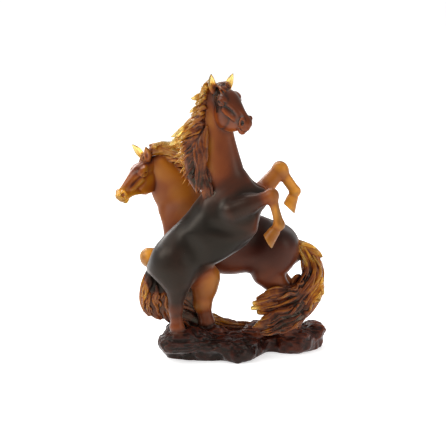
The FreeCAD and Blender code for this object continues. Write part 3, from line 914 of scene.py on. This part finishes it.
field_grid, shape_grid = spread(coarse_field.astype(np.float32)), spread(coarse_which)
for chunk in np.array_split(active, max(1, len(active) // CHUNK)):
    corner = (low + index[chunk] * (STEP * BLOCK)).astype(np.float32)
    field, which = evaluate(corner[:, None, :] + offsets.astype(np.float32), centres[chunk], radius + BAND)
    for n, (i, j, k) in enumerate(index[chunk] * BLOCK):
        field_grid[i:i + BLOCK, j:j + BLOCK, k:k + BLOCK] = field[n].reshape(BLOCK, BLOCK, BLOCK)
        shape_grid[i:i + BLOCK, j:j + BLOCK, k:k + BLOCK] = which[n].reshape(BLOCK, BLOCK, BLOCK)


CORNERS = np.array([(i, j, k) for i in (0, 1) for j in (0, 1) for k in (0, 1)])
EDGES = [(a, b) for a in range(8) for b in range(a + 1, 8) if np.abs(CORNERS[a] - CORNERS[b]).sum() == 1]


def sample(grid, points, cell=STEP):
    """The grid's value at points, between its voxels."""
    q = (points - low) / cell
    i = np.clip(np.floor(q).astype(np.int32), 0, np.array(grid.shape) - 2)
    f = (q - i).astype(np.float32)
    value = 0.0
    for dx, dy, dz in CORNERS:
        weight = np.abs(1 - dx - f[:, 0]) * np.abs(1 - dy - f[:, 1]) * np.abs(1 - dz - f[:, 2])
        value = value + weight * grid[i[:, 0] + dx, i[:, 1] + dy, i[:, 2] + dz]
    return value


def blurred(grid, cells):
    """The grid smoothed over that many of its cells."""
    half = int(math.ceil(2.5 * cells))
    kernel = np.exp(-0.5 * (np.arange(-half, half + 1) / cells) ** 2)
    kernel /= kernel.sum()
    for axis in range(3):
        total = np.zeros_like(grid)
        for offset, weight in zip(range(-half, half + 1), kernel):
            total += np.float32(weight) * np.roll(grid, offset, axis)
        grid = total
    return grid


def gradient(points, reach):
    parts = []
    for axis in range(3):
        shift = np.zeros(3)
        shift[axis] = reach
        parts.append(sample(field_grid, points + shift) - sample(field_grid, points - shift))
    return np.stack(parts, -1) / (2 * reach)


def skin_of(field_grid, section_grid):
    """Points and four-sided faces of every section, those of one seam shared by its two sections."""
    lab = np.where(field_grid < 0, section_grid, 0).astype(np.uint8)
    first = lab[:-1, :-1, :-1]
    mixed = np.zeros(first.shape, dtype=bool)
    n = np.array(first.shape)
    for di, dj, dk in CORNERS[1:]:
        mixed |= lab[di:di + n[0], dj:dj + n[1], dk:dk + n[2]] != first
    cells = np.argwhere(mixed)
    number = np.full(first.shape, -1, dtype=np.int32)
    number[mixed] = np.arange(len(cells), dtype=np.int32)
    at = [tuple((cells + c).T) for c in CORNERS]
    values = np.stack([field_grid[a] for a in at], -1)
    labels = np.stack([lab[a] for a in at], -1)
    outer, outer_n = np.zeros((len(cells), 3)), np.zeros(len(cells))
    inner, inner_n = np.zeros((len(cells), 3)), np.zeros(len(cells))
    for a, b in EDGES:
        differ = labels[:, a] != labels[:, b]
        edge = differ & ((labels[:, a] == 0) | (labels[:, b] == 0))
        t = values[edge, a] / (values[edge, a] - values[edge, b])
        outer[edge] += CORNERS[a] + t[:, None] * (CORNERS[b] - CORNERS[a])
        outer_n += edge
        wall = differ & ~edge
        inner[wall] += (CORNERS[a] + CORNERS[b]) / 2
        inner_n += wall
    outside = outer_n > 0
    place = np.where(
        outside[:, None], outer / np.maximum(outer_n, 1)[:, None], inner / np.maximum(inner_n, 1)[:, None]
    )
    points = low + (cells + place) * STEP
    faces, owner = [], []
    for axis in range(3):
        other = [(axis + 1) % 3, (axis + 2) % 3]
        inner_slice = [slice(1, -1)] * 3
        inner_slice[axis] = slice(0, -1)
        a = lab[tuple(inner_slice)]
        inner_slice[axis] = slice(1, None)
        b = lab[tuple(inner_slice)]
        spots = np.argwhere(a != b)
        a, b = a[tuple(spots.T)], b[tuple(spots.T)]
        ring = []
        for p, q in ((0, 0), (1, 0), (1, 1), (0, 1)):
            cell = spots.copy()
            cell[:, other[0]] += p
            cell[:, other[1]] += q
            ring.append(number[tuple(cell.T)])
        quad = np.stack(ring, -1)
        faces += [quad[a > 0], quad[b > 0][:, ::-1]]
        owner += [a[a > 0], b[b > 0]]
    return points, outside, np.concatenate(faces), np.concatenate(owner)


section_grid = np.array([part for _, part in ADDED], dtype=np.uint8)[shape_grid]
# Trunks and necks are broad and plain, so what shows of their tubes' short lengths is smoothed away.
PLAIN_BLUR = 1.4  # voxels
plain_parts = [PART_ID[name] for name in PARTS if name.endswith(("trunk", "neck"))]
plain = blurred(np.isin(section_grid, plain_parts).astype(np.float32), PLAIN_BLUR)
field_grid += np.clip(1.5 * plain - 0.5, 0, 1) * (blurred(field_grid, PLAIN_BLUR) - field_grid)
points, outside, faces, owner = skin_of(field_grid, section_grid)
for _ in range(2):  # draw the outer points onto the surface, half a voxel at most
    here = points[outside]
    slope = gradient(here, STEP * 0.5)
    steep = np.maximum((slope * slope).sum(1), 0.05)
    move = slope * (sample(field_grid, here) / steep)[:, None]
    reach = np.maximum(np.linalg.norm(move, axis=1), 1e-6)
    points[outside] = here - move * np.minimum(1, 0.5 * STEP / reach)[:, None]
points[:, 2] = np.maximum(points[:, 2], 0)
here = points[outside]
normals = np.zeros_like(points)
normals[outside] = gradient(here, STEP * 0.75)
normals[~outside] = (0, 0, 1)
normals /= np.maximum(np.linalg.norm(normals, axis=1), 1e-6)[:, None]

# How much glass surrounds each point: the share of a blurred ball about it that is glass.
COARSE = 3  # voxels along the side of a coarse cell
NEAR = 4.0  # the ball's reach, mm
cells = [n // COARSE for n in field_grid.shape]
x, y, z = (n * COARSE for n in cells)
glass = (field_grid[:x, :y, :z] < 0).reshape(cells[0], COARSE, cells[1], COARSE, cells[2], COARSE)
glass = glass.mean((1, 3, 5)).astype(np.float32)


def at_points(grid):
    return sample(grid, points - STEP * (COARSE - 1) / 2, STEP * COARSE)


bulk = {"near_glass": at_points(blurred(glass, NEAR / (STEP * COARSE)))}


def bend(reach):
    """From 0 in a crease through 0.5 on flat skin to 1 on an edge, judged over reach mm."""
    total = np.zeros(len(points), dtype=np.float32)
    for axis in range(3):
        shift = np.zeros(3)
        shift[axis] = reach
        total[outside] += sample(field_grid, here + shift) + sample(field_grid, here - shift)
    return np.clip(0.5 + total * (0.5 / reach), 0, 1)


bulk["ridge"] = bend(1.6)
bulk["fold"] = bend(4.0)

# Which way each lock's hairs run: how far across the lock and along it a point lies, mm.
across, along = np.zeros(len(points)), np.zeros(len(points))
cell = np.clip(np.rint((points - low) / STEP).astype(int), 0, np.array(shape_grid.shape) - 1)
nearest = shape_grid[tuple(cell.T)]
order = np.argsort(nearest, kind="stable")
for group in np.split(order, np.flatnonzero(np.diff(nearest[order])) + 1):
    shape = ADDED[nearest[group[0]]][0]
    if isinstance(shape, Tube) and shape.ridge:
        across[group], along[group] = shape.combing(points[group])
bulk["across"], bulk["along"] = across, along

# How deep the glass looks, from 0, thin and straw-coloured, to 1, thick and nearly black: place in mm,
# and depth. The depths hold the glass's own colour and also painted light and shade: some places are
# painted paler as if lit or lit through, such as the left side of the front horse's neck, others darker as
# if shaded.
NOTE_SPREAD = 12.0  # how softly one note gives way to the next, square mm
DEPTH_AND_SHADE_NOTES = {
    "front_skin": (
        (-32, -41, 344, 0.16), (-10, -27, 343, 0.16), (-20, -42, 330, 0.72), (-20, -52, 320, 0.80),
        (-20, -54, 302, 0.64), (-12, -52, 288, 0.60), (-3, -60, 312, 0.78), (8, -70, 302, 0.74),
        (3, -66, 296, 0.70), (4, -64, 286, 0.66), (-38, -40, 295, 0.37), (-14, -36, 280, 0.56),
        (-40, -44, 262, 0.33), (-22, -48, 262, 0.60), (-6, -36, 262, 0.66), (-44, -46, 235, 0.33),
        (-22, -54, 238, 0.58), (4, -38, 235, 0.72), (-15, -56, 213, 0.72), (22, -40, 205, 0.84),
        (-12, -58, 188, 0.88), (8, -58, 190, 0.84), (-40, -56, 165, 0.94), (-64, -44, 178, 0.90),
        (-20, -52, 140, 0.94), (-88, -48, 125, 0.89), (-78, -54, 105, 0.90), (-74, -50, 85, 0.88),
        (-76, -45, 66, 0.78), (-75, -44, 45, 0.68), (-73, -46, 25, 0.90), (-44, -14, 98, 0.33),
        (-51, -14, 68, 0.46), (-44, -14, 44, 0.70), (-40, -14, 30, 0.86), (20, -58, 197, 0.80),
        (4, -60, 196, 0.86), (36, -57, 204, 0.48), (42, -57, 186, 0.38), (45, -57, 171, 0.42),
        (36, -59, 154, 0.44), (20, -12, 194, 0.62), (34, -8, 213, 0.44), (49, -5, 229, 0.41),
        (59, -4, 214, 0.39), (63, -4, 190, 0.39), (8, -40, 160, 0.92), (15, -28, 174, 0.86),
        (0, -46, 150, 0.93), (-60, -20, 112, 0.90),
    ),
    "back_skin": (
        (-124, 26, 248, 0.16), (-111, 9, 250, 0.50), (-112, 12, 238, 0.54), (-103, 6, 220, 0.28),
        (-110, 4, 226, 0.44), (-115, 5, 238, 0.72), (-124, 2, 226, 0.72), (-134, -1, 211, 0.62),
        (-118, 2, 210, 0.38), (-138, -2, 197, 0.34), (-130, -2, 192, 0.32), (-86, 10, 220, 0.38),
        (-74, 10, 198, 0.39), (-96, 14, 200, 0.50), (-64, 12, 176, 0.46), (-78, 14, 172, 0.54),
        (-75, 10, 148, 0.68), (20, 2, 150, 0.86), (30, 0, 156, 0.90), (52, 16, 158, 0.89),
        (66, 22, 146, 0.90), (46, 0, 120, 0.79), (10, -2, 118, 0.74), (64, 28, 122, 0.68),
        (28, 10, 98, 0.70), (48, 14, 80, 0.60), (38, 18, 30, 0.70), (-84, 5, 128, 0.40),
        (-109, 3, 121, 0.37), (-99, 5, 98, 0.42), (-86, 5, 70, 0.66), (-96, 48, 108, 0.40),
        (-74, 50, 72, 0.55), (62, 48, 68, 0.50), (46, 46, 24, 0.66),
    ),
    "front_hair": (
        (-36, -36, 336, 0.46), (-50, -36, 322, 0.26), (-58, -36, 300, 0.36), (-78, -38, 278, 0.16),
        (-84, -38, 260, 0.18), (-78, -38, 240, 0.52), (-66, -38, 216, 0.68), (-40, -46, 312, 0.56),
        (-46, -46, 285, 0.60), (-56, -44, 262, 0.66), (-44, -48, 250, 0.74), (-48, -48, 225, 0.84),
        (-52, -46, 202, 0.80), (-20, -44, 334, 0.78), (-12, -36, 330, 0.60), (-100, -26, 120, 0.44),
        (-114, -26, 105, 0.34), (-120, -25, 78, 0.44), (-102, -24, 96, 0.40), (-98, -22, 66, 0.54),
        (-108, -24, 60, 0.62), (-84, -14, 46, 0.76), (-66, -12, 68, 0.64), (-54, -8, 44, 0.74),
        (-36, 2, 44, 0.50), (-16, 2, 38, 0.54), (4, 0, 34, 0.60), (20, 0, 36, 0.66),
    ),
    "back_hair": (
        (-112, 18, 248, 0.50), (-98, 20, 252, 0.26), (-80, 20, 250, 0.22), (-62, 20, 248, 0.18),
        (-60, 14, 232, 0.44), (-76, 14, 236, 0.44), (-52, 12, 210, 0.56), (62, 30, 137, 0.46),
        (80, 30, 130, 0.24), (94, 28, 118, 0.34), (74, 26, 110, 0.34), (94, 26, 100, 0.50),
        (80, 20, 92, 0.70), (101, 20, 80, 0.30), (97, 18, 68, 0.32), (66, 10, 72, 0.66), (46, 2, 66, 0.62),
        (30, -4, 68, 0.60), (16, -8, 56, 0.24), (24, -8, 48, 0.50), (44, 0, 50, 0.70), (70, 8, 54, 0.78),
        (86, 12, 52, 0.52), (56, -6, 44, 0.72), (30, -12, 38, 0.56), (44, -12, 36, 0.80),
    ),
    "rock": (
        (-90, -20, 28, 0.93), (-60, -40, 20, 0.95), (-30, -44, 14, 0.96), (0, -44, 14, 0.95),
        (30, -24, 12, 0.90), (70, 0, 14, 0.86), (104, 28, 30, 0.70), (96, 20, 20, 0.84),
        (-24, -20, 31, 0.80), (-54, -26, 33, 0.84), (12, -16, 31, 0.80), (30, 0, 34, 0.74),
        (56, -8, 28, 0.80), (72, 8, 30, 0.76), (-40, 40, 14, 0.92), (40, 50, 14, 0.88), (86, 44, 14, 0.84),
        (-80, 10, 24, 0.92),
    ),
}


def note_group(name):
    """Which notes a section follows."""
    if name == "rock_base":
        return "rock"
    kind = "hair" if name.endswith(("mane", "forelock", "tail")) else "skin"
    return f"{name.split('_')[0]}_{kind}"


def noted_depth(group, where):
    """The notes of one group, blended by nearness."""
    total, weights = np.zeros(len(where)), np.zeros(len(where))
    for x, y, z, depth in DEPTH_AND_SHADE_NOTES[group]:
        weight = 1 / (((where - (x, y, z)) ** 2).sum(1) + NOTE_SPREAD) ** 2
        total += weight * depth
        weights += weight
    return total / weights


def points_of(names):
    """The numbers of the points that these sections use."""
    return np.unique(faces[np.isin(owner, [PART_ID[name] for name in names])])


skin_faces = faces[outside[faces].all(1)]


def softened(values, times):
    """Values evened out over the skin, a voxel's width at a time."""
    ends = np.concatenate([skin_faces, np.roll(skin_faces, 1, axis=1)]).ravel()
    starts = np.concatenate([np.roll(skin_faces, 1, axis=1), skin_faces]).ravel()
    count = np.maximum(np.bincount(ends, minlength=len(points)), 1)
    for _ in range(times):
        around = np.bincount(ends, values[starts], len(points)) / count
        values = np.where(outside, 0.4 * values + 0.6 * around, values)
    return values


# Each point's depth comes from its group's notes: the glass's own colour together with painted light and
# shade.
total, shares = np.zeros(len(points)), np.zeros(len(points))
for group in DEPTH_AND_SHADE_NOTES:
    used = points_of(name for name in PARTS if note_group(name) == group)
    total[used] += noted_depth(group, points[used])
    shares[used] += 1
bulk["depth"] = softened(total / np.maximum(shares, 1), 8)
bulk["fold"] = softened(bulk["fold"], 10)
polish = np.zeros(len(points))
polish[points_of(name for name in PARTS if name.endswith(("head", "ear")))] = 1
bulk["polish"] = softened(polish, 12)

SLOTS = {row["node"]: row["material_slot"] for row in frame["record"]["subparts"]}


def split_seams(quads):
    """Quads, and as triangles those with one point inside, so that none of them lies in the skin."""
    inside = ~outside[quads]
    lone = inside.sum(1) == 1
    turn = (inside[lone].argmax(1)[:, None] + np.arange(4)) % 4
    turned = np.take_along_axis(quads[lone], turn, 1)
    return quads[~lone], np.concatenate([turned[:, [0, 1, 2]], turned[:, [0, 2, 3]]])


def section_piece(name):
    """One section's closed mesh, with its share of the group's smooth normals and glass depth."""
    quads, triangles = split_seams(faces[owner == PART_ID[name]])
    used, flat = np.unique(np.concatenate([quads.ravel(), triangles.ravel()]), return_inverse=True)
    flat = flat.reshape(-1)
    starts = np.concatenate([np.arange(len(quads)) * 4, quads.size + np.arange(len(triangles)) * 3])
    mesh = bpy.data.meshes.new(name)
    mesh.vertices.add(len(used))
    mesh.vertices.foreach_set("co", (points[used] / 1000).astype(np.float32).ravel())
    mesh.loops.add(len(flat))
    mesh.loops.foreach_set("vertex_index", flat.astype(np.int32))
    mesh.polygons.add(len(starts))
    mesh.polygons.foreach_set("loop_start", starts.astype(np.int32))
    mesh.update(calc_edges=True)
    mesh.polygons.foreach_set("use_smooth", np.ones(len(starts), dtype=bool))
    for key, values in bulk.items():
        layer = mesh.attributes.new(key, "FLOAT", "POINT").data
        layer.foreach_set("value", values[used].astype(np.float32))
    mesh.normals_split_custom_set_from_vertices(normals[used].astype(np.float32))
    piece = bpy.data.objects.new(f"glass_{name}", mesh)
    bpy.context.scene.collection.objects.link(piece)
    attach(piece, "root")
    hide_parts(name)
    return piece


pieces = {name: section_piece(name) for name in PARTS}


# ---------------------------------------------------------------- glass


class Glass:
    """A procedural cast-glass material. Colour follows how much glass lies behind the surface, and painted
    light and shade.
    """

    def __init__(self, name):
        self.material = bpy.data.materials.new(name)
        self.material.use_nodes = True
        self.nodes, self.links = self.material.node_tree.nodes, self.material.node_tree.links
        self.shader = self.nodes["Principled BSDF"]
        self.place = self.node("ShaderNodeTexCoord").outputs["Object"]

    def node(self, kind, inputs=(), **settings):
        """A new node, with values or other nodes' outputs put into its inputs."""
        made = self.nodes.new(kind)
        for key, value in settings.items():
            setattr(made, key, value)
        for key, value in dict(inputs).items():
            self.put(made.inputs[key], value)
        return made

    def put(self, socket, value):
        if isinstance(value, bpy.types.NodeSocket):
            self.links.new(value, socket)
        else:
            socket.default_value = value

    def maths(self, operation, *values, clamp=False):
        made = self.node("ShaderNodeMath", enumerate(values), operation=operation, use_clamp=clamp)
        return made.outputs[0]

    def total(self, *values):
        """The sum of all the values, held between 0 and 1."""
        result = values[0]
        for value in values[1:]:
            result = self.maths("ADD", result, value)
        return self.maths("ADD", result, 0, clamp=True)

    def attribute(self, name):
        return self.node("ShaderNodeAttribute", attribute_name=name).outputs["Fac"]

    def noise(self, scale, detail, distortion=0.0, vector=None):
        inputs = {"Scale": scale, "Detail": detail, "Distortion": distortion}
        inputs["Vector"] = vector or self.place
        return self.node("ShaderNodeTexNoise", inputs).outputs["Fac"]

    def hairs(self, across, along):
        """Noise drawn out along the locks; both frequencies are per millimetre."""
        sizes = (("across", across), ("along", along))
        steps = [self.maths("MULTIPLY", self.attribute(name), size) for name, size in sizes]
        return self.noise(1.0, 2, vector=self.node("ShaderNodeCombineXYZ", enumerate(steps)).outputs[0])

    def span(self, value, low, high, to_low=0.0, to_high=1.0):
        inputs = {"Value": value, "From Min": low, "From Max": high, "To Min": to_low, "To Max": to_high}
        return self.node("ShaderNodeMapRange", inputs).outputs["Result"]

    def ramp(self, value, stops):
        made = self.node("ShaderNodeValToRGB", {"Fac": value})
        made.color_ramp.interpolation = "B_SPLINE"
        elements = made.color_ramp.elements
        while len(elements) < len(stops):
            elements.new(0.5)
        for element, (place, colour) in zip(elements, stops):
            element.position = place
            element.color = (*colour, 1)
        return made.outputs["Color"]

    def bumps(self, *layers):
        """Stacks bump layers: each (height, strength, distance in metres)."""
        normal = None
        for height, strength, distance in layers:
            inputs = {"Height": height, "Strength": strength, "Distance": distance}
            made = self.node("ShaderNodeBump", inputs)
            if normal:
                self.put(made.inputs["Normal"], normal)
            normal = made.outputs["Normal"]
        self.put(self.shader.inputs["Normal"], normal)

    def set(self, **values):
        for key, value in values.items():
            self.put(self.shader.inputs[key.replace("_", " ")], value)


def linear(red, green, blue):
    """A display colour, 0 to 255, as linear light."""
    shares = (red / 255, green / 255, blue / 255)
    return tuple(c / 12.92 if c < 0.04 else ((c + 0.055) / 1.055) ** 2.4 for c in shares)


LEAD_CRYSTAL = 1.52  # refractive index
# Cast amber glass by depth, thin to thick; the thickest reads cool in one horse and warm in the other.
# The pale, straw-coloured stops are partly painted light: the glow of light shining through thin glass.
THIN = (
    (0.00, linear(247, 220, 140)),
    (0.14, linear(234, 186, 82)),
    (0.28, linear(202, 134, 30)),
    (0.40, linear(164, 92, 18)),
    (0.52, linear(128, 60, 17)),
    (0.64, linear(91, 40, 19)),
)
COOL = THIN + (
    (0.76, linear(52, 28, 20)),
    (0.88, linear(20, 15, 11)),
    (1.00, linear(10, 10, 8)),
)
WARM = THIN + (
    (0.76, linear(60, 22, 14)),
    (0.88, linear(34, 15, 11)),
    (1.00, linear(16, 10, 8)),
)


def skin(name, ramp):
    """Satin cast glass, cloudy inside and finely frosted on its surface."""
    g = Glass(name)
    # Painted light: where little glass surrounds a point its colour is made paler, like light shining
    # through thin glass.
    thin = g.span(g.attribute("near_glass"), 0.22, 0.48, -0.10, 0.0)
    cloud = g.span(g.noise(16, 4, 0.8), 0.25, 0.75, -0.065, 0.065)
    # Painted shade and highlight: darker down in broad folds, a little lighter on edges.
    relief = g.span(g.attribute("fold"), 0.25, 0.80, 0.07, -0.03)
    polish = g.attribute("polish")
    # Painted shade: dark lines down in tight creases, on heads and ears only.
    crease_shade = g.maths("MULTIPLY", g.span(g.attribute("ridge"), 0.20, 0.50, 0.15, 0.0), polish)
    depth = g.total(g.attribute("depth"), thin, cloud, relief, crease_shade)
    g.set(Base_Color=g.ramp(depth, ramp), IOR=LEAD_CRYSTAL, Specular_IOR_Level=0.22)
    g.set(Specular_Tint=(1.0, 0.86, 0.72, 1))
    satin = g.span(g.noise(70, 3), 0.3, 0.7, 0.34, 0.44)
    g.set(Roughness=g.maths("ADD", satin, g.span(polish, 0, 1, 0, -0.20)))
    murk = g.maths("ADD", depth, g.span(polish, 0, 1, 0, 0.08))
    g.set(Transmission_Weight=g.span(murk, 0.20, 0.66, 0.90, 0.0))
    bloom = g.ramp(depth, ((0.60, (0.95, 0.66, 0.40)), (0.86, (0.90, 0.86, 0.84))))
    g.set(Sheen_Weight=0.24, Sheen_Roughness=0.30, Sheen_Tint=bloom)
    g.bumps((g.noise(110, 3), 0.10, 0.0010), (g.noise(1500, 2), 0.10, 0.0002))
    return g.material


def hair():
    """Polished cast glass, pale and clear where a lock is thin, and brown down in the creases: painted
    light and shade.
    """
    g = Glass("hair_glass")
    # Partly painted light: paler where a lock is thin, as if light shone through it, darker where the glass
    # is thick.
    thin = g.span(g.attribute("near_glass"), 0.10, 0.55, -0.18, 0.08)
    # Painted shade and highlight: darker down in the creases, paler on the ridges of the locks.
    crease = g.span(g.attribute("ridge"), 0.10, 0.90, 0.14, -0.08)
    pools = g.span(g.noise(75, 3, 1.0), 0.30, 0.70, -0.15, 0.15)
    streak = g.span(g.hairs(0.45, 0.05), 0.3, 0.7, -0.07, 0.07)
    depth = g.total(g.attribute("depth"), thin, pools, crease, streak)
    g.set(Base_Color=g.ramp(depth, WARM), IOR=LEAD_CRYSTAL, Specular_IOR_Level=0.30)
    g.set(Specular_Tint=(1.0, 0.88, 0.66, 1))
    g.set(Roughness=g.span(g.noise(90, 3), 0.3, 0.7, 0.12, 0.22))
    g.set(Transmission_Weight=g.span(depth, 0.15, 0.75, 0.75, 0.0))
    g.bumps((g.hairs(0.9, 0.06), 0.5, 0.0006), (g.noise(260, 3), 0.12, 0.0006))
    return g.material


def rock():
    """The darkest glass: glossy, chipped, with brown painted on its thin edges as if lit through, and
    painted shade in its creases.
    """
    g = Glass("rock_glass")
    # Painted shade and highlight: darker down in creases, lighter brown on ridges and edges.
    crease = g.span(g.attribute("ridge"), 0.20, 0.80, 0.07, -0.11)
    cloud = g.span(g.noise(45, 4, 1.5), 0.25, 0.75, -0.07, 0.07)
    depth = g.total(g.attribute("depth"), cloud, crease)
    g.set(Base_Color=g.ramp(depth, WARM), IOR=LEAD_CRYSTAL, Specular_IOR_Level=0.20)
    g.set(Specular_Tint=(1.0, 0.90, 0.80, 1))
    g.set(Roughness=g.span(g.noise(80, 3), 0.3, 0.7, 0.22, 0.40))
    g.bumps((g.noise(180, 4), 0.35, 0.0010), (g.noise(900, 2), 0.15, 0.0003))
    return g.material


GLASS = {
    "front_skin_crystal": skin("front_skin_glass", COOL),
    "back_skin_crystal": skin("back_skin_glass", WARM),
    "hair_crystal": hair(),
    "rock_crystal": rock(),
}
for name, piece in pieces.items():
    piece.data.materials.append(GLASS[SLOTS[name]])

# ---------------------------------------------------------------- stage, lights and camera

scene = bpy.context.scene
scene.view_settings.view_transform = "Standard"

FLOOR = 8  # from its middle to its sides, m
floor_mesh = bpy.data.meshes.new("floor")
corners = [(x * FLOOR, y * FLOOR, 0) for x, y in ((-1, -1), (1, -1), (1, 1), (-1, 1))]
floor_mesh.from_pydata(corners, [], [(0, 1, 2, 3)])
floor = bpy.data.objects.new("floor", floor_mesh)
scene.collection.objects.link(floor)
paper = bpy.data.materials.new("paper")
paper.use_nodes = True
paper_shader = paper.node_tree.nodes["Principled BSDF"]
paper_shader.inputs["Base Color"].default_value = (0.93, 0.93, 0.93, 1)
paper_shader.inputs["Roughness"].default_value = 0.35
paper_shader.inputs["Emission Color"].default_value = (1, 1, 1, 1)
paper_shader.inputs["Emission Strength"].default_value = 0.55
floor_mesh.materials.append(paper)

world = bpy.data.worlds.new("studio")
scene.world = world
world.use_nodes = True
world.node_tree.nodes["Background"].inputs["Color"].default_value = (1, 1, 1, 1)
world.node_tree.nodes["Background"].inputs["Strength"].default_value = 0.50


def aim(thing, target):
    thing.rotation_euler = (Vector(target) - Vector(thing.location)).to_track_quat("-Z", "Y").to_euler()


def softbox(name, place, size_x, size_y, watts):
    light = bpy.data.lights.new(name, "AREA")
    light.shape = "RECTANGLE"
    light.size, light.size_y, light.energy = size_x, size_y, watts
    lamp = bpy.data.objects.new(name, light)
    scene.collection.objects.link(lamp)
    lamp.location = place
    aim(lamp, (0, 0, 0.18))


softbox("key", (-0.9, -1.0, 1.4), 0.7, 0.7, 6)
softbox("side", (-1.4, -0.4, 1.0), 0.9, 0.9, 15)
softbox("fill", (1.3, -0.8, 0.7), 0.5, 1.0, 6)
softbox("top", (-0.4, 0.5, 1.6), 1.0, 0.6, 11)
softbox("rim", (-0.9, 1.1, 1.0), 0.7, 0.9, 16)

DISTANCE, ELEVATION = 2.6, math.radians(12)
SENSOR, VIEW_WIDTH = 36, 0.535  # mm, and the width in view at the target, m
view = bpy.data.cameras.new("camera")
view.sensor_width, view.lens = SENSOR, SENSOR * DISTANCE / VIEW_WIDTH
camera = bpy.data.objects.new("camera", view)
scene.collection.objects.link(camera)
target = (-0.020, 0.0, 0.161)
camera.location = (target[0], -DISTANCE * math.cos(ELEVATION), target[2] + DISTANCE * math.sin(ELEVATION))
aim(camera, target)
scene.camera = camera
